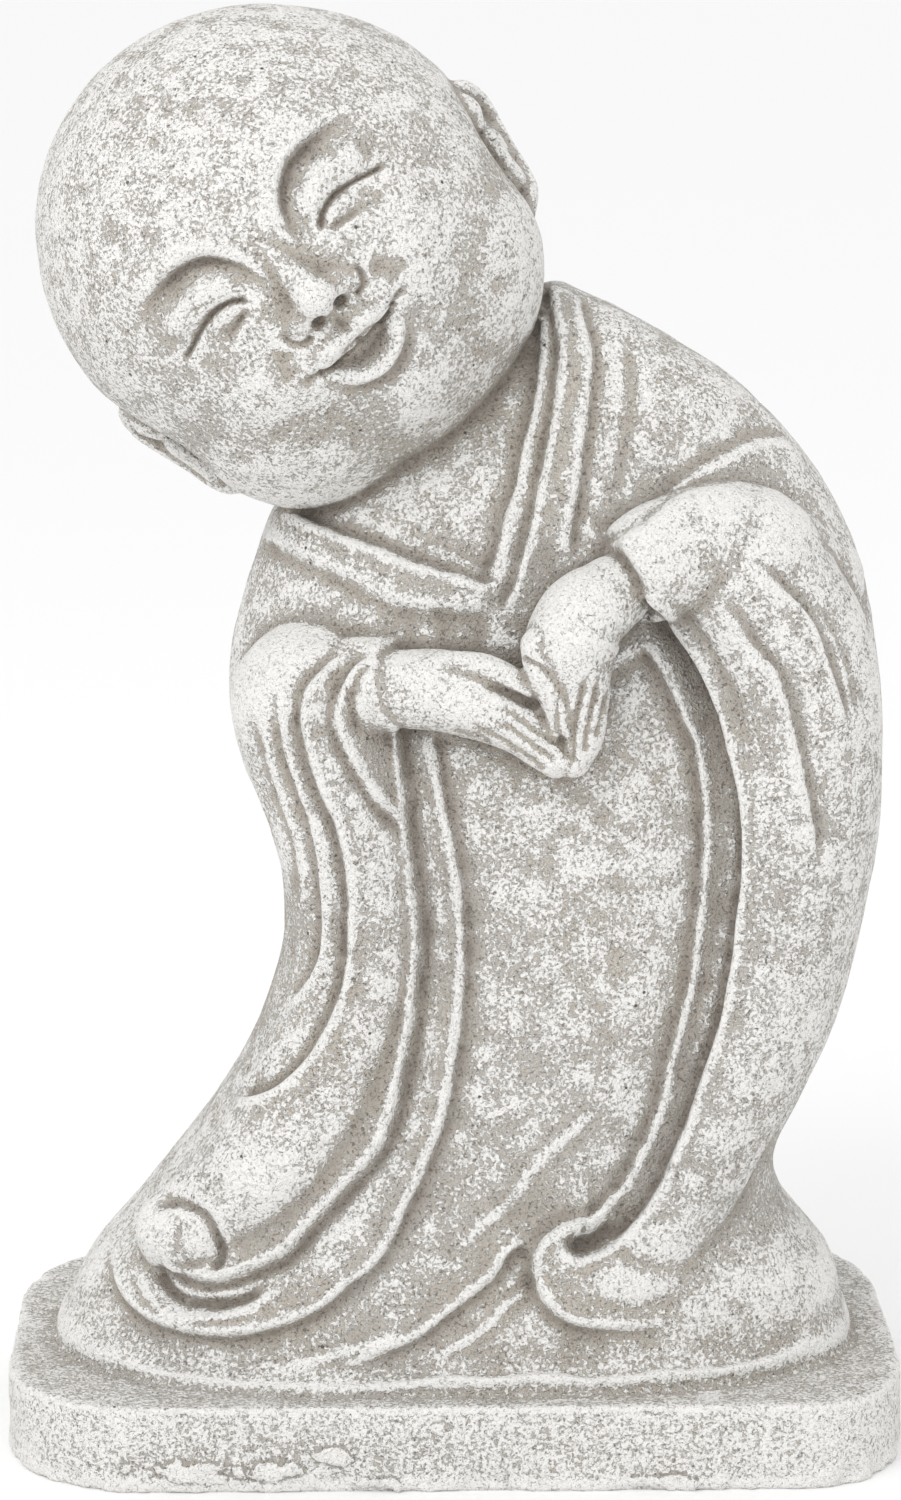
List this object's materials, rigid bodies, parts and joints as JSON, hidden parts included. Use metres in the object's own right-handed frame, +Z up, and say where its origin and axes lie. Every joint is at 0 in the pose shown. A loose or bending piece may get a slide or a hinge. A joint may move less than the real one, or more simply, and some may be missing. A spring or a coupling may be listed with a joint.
{
  "type": "garden statue",
  "caption": "Cast stone statue of a smiling bald child monk, head tilted, in a long-sleeved robe, hands meeting at the fingertips, on its own low plinth.",
  "frame": {"origin": "centre of the plinth's flat underside", "axes": "+Z up, the monk faces -Y, its left hand is towards +X"},
  "size_m": [0.3128, 0.19, 0.4998],
  "materials": {
    "cast_stone": "rough weathered, limewashed"
  },
  "bodies": {
    "root": {"monk_statue": "cast_stone"}
  },
  "joints": []
}
